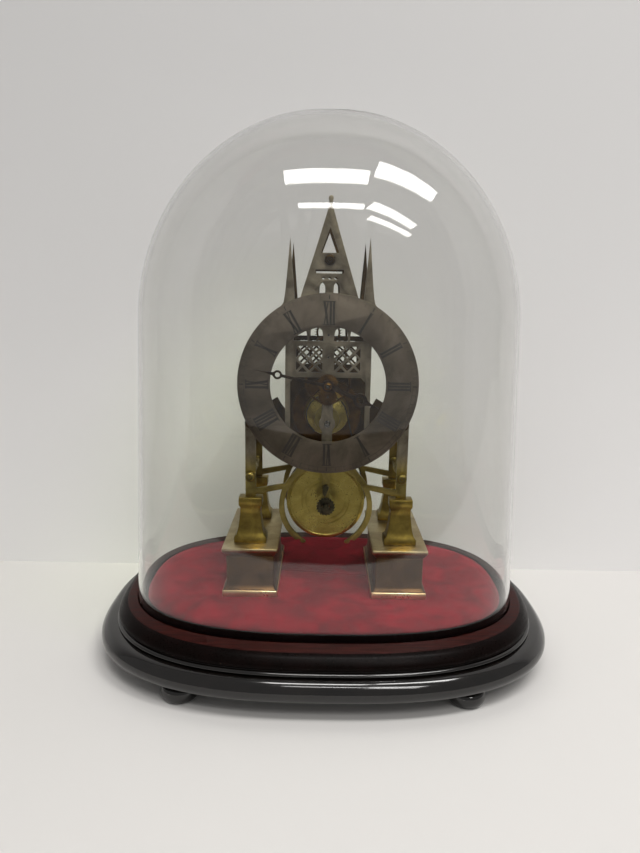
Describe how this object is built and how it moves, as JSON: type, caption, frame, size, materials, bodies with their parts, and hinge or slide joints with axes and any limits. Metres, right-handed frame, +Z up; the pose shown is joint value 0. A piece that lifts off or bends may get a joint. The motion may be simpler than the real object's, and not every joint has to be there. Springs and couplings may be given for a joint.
{
  "type": "skeleton clock",
  "caption": "Gothic skeleton clock with a spire, pierced dial, chain fusee and pendulum, on brass pedestals and a black oval stand under a glass dome.",
  "frame": {"origin": "on the floor under the middle of the oval stand", "axes": "+X to the clock's right seen from the front, +Y to the back, +Z up"},
  "size_m": [0.402, 0.292, 0.4656],
  "materials": {
    "lacquered_brass": "polished and lacquered",
    "toned_brass": "aged, darkened polish",
    "dial_metal": "grey, finely brushed",
    "steel": "polished",
    "dark_steel": "blued dark",
    "ebonised_wood": "black gloss polish",
    "velvet": "crimson velvet",
    "glass": "clear"
  },
  "bodies": {
    "frame": {"lower_base": "ebonised_wood", "upper_base": "ebonised_wood", "bun_foot_front_left": "ebonised_wood", "bun_foot_front_right": "ebonised_wood", "bun_foot_rear_left": "ebonised_wood", "bun_foot_rear_right": "ebonised_wood", "velvet_board": "velvet", "left_plinth": "lacquered_brass", "left_plinth_cap": "lacquered_brass", "right_plinth": "lacquered_brass", "right_plinth_cap": "lacquered_brass", "frame_foot_front_left": "lacquered_brass", "frame_foot_front_right": "lacquered_brass", "frame_foot_rear_left": "lacquered_brass", "frame_foot_rear_right": "lacquered_brass", "front_plate": "toned_brass", "rear_plate": "toned_brass", "pillar_low_left": "toned_brass", "pillar_low_right": "toned_brass", "pillar_foot_left": "toned_brass", "pillar_foot_right": "toned_brass", "pillar_spire": "toned_brass", "pillar_nut_low_left": "toned_brass", "pillar_nut_low_right": "toned_brass", "pillar_nut_foot_left": "toned_brass", "pillar_nut_foot_right": "toned_brass", "pillar_nut_spire": "toned_brass", "chapter_ring": "dial_metal", "minute_wheel_stud": "steel", "back_cock": "toned_brass", "barrel_arbor": "steel", "setup_ratchet": "steel", "fusee_chain": "steel"},
    "dome": {"glass_dome": "glass"},
    "centre": {"centre_arbor": "steel", "centre_wheel": "lacquered_brass", "cannon_pinion": "steel", "minute_hand": "dark_steel", "hand_collet": "lacquered_brass"},
    "great": {"great_wheel": "lacquered_brass"},
    "fusee": {"fusee_cone": "lacquered_brass"},
    "barrel": {"barrel_drum": "lacquered_brass", "barrel_cap": "lacquered_brass", "mainspring": "steel"},
    "third": {"third_arbor": "steel", "third_wheel": "lacquered_brass"},
    "escape": {"escape_arbor": "steel", "escape_wheel": "lacquered_brass"},
    "minute_work": {"minute_wheel": "lacquered_brass"},
    "hour_work": {"hour_wheel": "lacquered_brass", "hour_hand": "dark_steel"},
    "pendulum": {"suspension_spring": "steel", "pendulum_rod": "lacquered_brass", "pendulum_bob": "lacquered_brass", "rating_nut": "lacquered_brass"},
    "anchor": {"pallets": "steel", "crutch": "steel"},
    "click_body": {"click": "steel"},
    "stop_body": {"stop_lever": "steel"}
  },
  "joints": [
    {"name": "centre_turn", "type": "hinge", "parent": "frame", "child": "centre", "pos_m": [0, 0, 0.2442], "axis": [0, 1, 0], "continuous": true},
    {"name": "great_turn", "type": "hinge", "parent": "frame", "child": "great", "pos_m": [0, 0.022, 0.2092], "axis": [0, 1, 0], "continuous": true},
    {"name": "fusee_winding", "type": "hinge", "parent": "great", "child": "fusee", "pos_m": [0, 0, 0.2092], "axis": [0, 1, 0], "continuous": true},
    {"name": "barrel_turn", "type": "hinge", "parent": "frame", "child": "barrel", "pos_m": [0, 0, 0.1357], "axis": [0, 1, 0], "continuous": true},
    {"name": "third_turn", "type": "hinge", "parent": "frame", "child": "third", "pos_m": [0, 0, 0.26604], "axis": [0, 1, 0], "continuous": true},
    {"name": "escape_turn", "type": "hinge", "parent": "frame", "child": "escape", "pos_m": [0, 0, 0.28431], "axis": [0, 1, 0], "continuous": true},
    {"name": "minute_wheel_turn", "type": "hinge", "parent": "frame", "child": "minute_work", "pos_m": [0, -0.0354, 0.2332], "axis": [0, 1, 0], "continuous": true},
    {"name": "hour_turn", "type": "hinge", "parent": "frame", "child": "hour_work", "pos_m": [0, -0.0376, 0.2442], "axis": [0, 1, 0], "continuous": true},
    {"name": "pendulum_swing", "type": "hinge", "parent": "frame", "child": "pendulum", "pos_m": [0, 0.0425, 0.30201], "axis": [0, 1, 0], "range_deg": [-3, 3]},
    {"name": "anchor_rock", "type": "hinge", "parent": "frame", "child": "anchor", "pos_m": [0, 0.004, 0.30201], "axis": [0, 1, 0], "range_deg": [-3, 3]},
    {"name": "click_lift", "type": "hinge", "parent": "frame", "child": "click_body", "pos_m": [0, -0.0341, 0.1527], "axis": [0, 1, 0], "range_deg": [0, 20], "stiffness_Nm_per_rad": 0.0005},
    {"name": "stop_lift", "type": "hinge", "parent": "frame", "child": "stop_body", "pos_m": [-0.0279, -0.0289, 0.18883], "axis": [0, -1, 0], "range_deg": [0, 8]},
    {"name": "dome_lift", "type": "slide", "parent": "frame", "child": "dome", "axis": [0, 0, 1], "range_m": [0, 0.38]}
  ],
  "couplings": [
    {"joint": "great_turn", "follows": "centre_turn", "ratio": -0.083333},
    {"joint": "barrel_turn", "follows": "centre_turn", "ratio": -0.0405},
    {"joint": "third_turn", "follows": "centre_turn", "ratio": -12},
    {"joint": "escape_turn", "follows": "centre_turn", "ratio": 137.14},
    {"joint": "minute_wheel_turn", "follows": "centre_turn", "ratio": -0.33333},
    {"joint": "hour_turn", "follows": "centre_turn", "ratio": 0.083333},
    {"joint": "anchor_rock", "follows": "pendulum_swing", "ratio": 1}
  ]
}
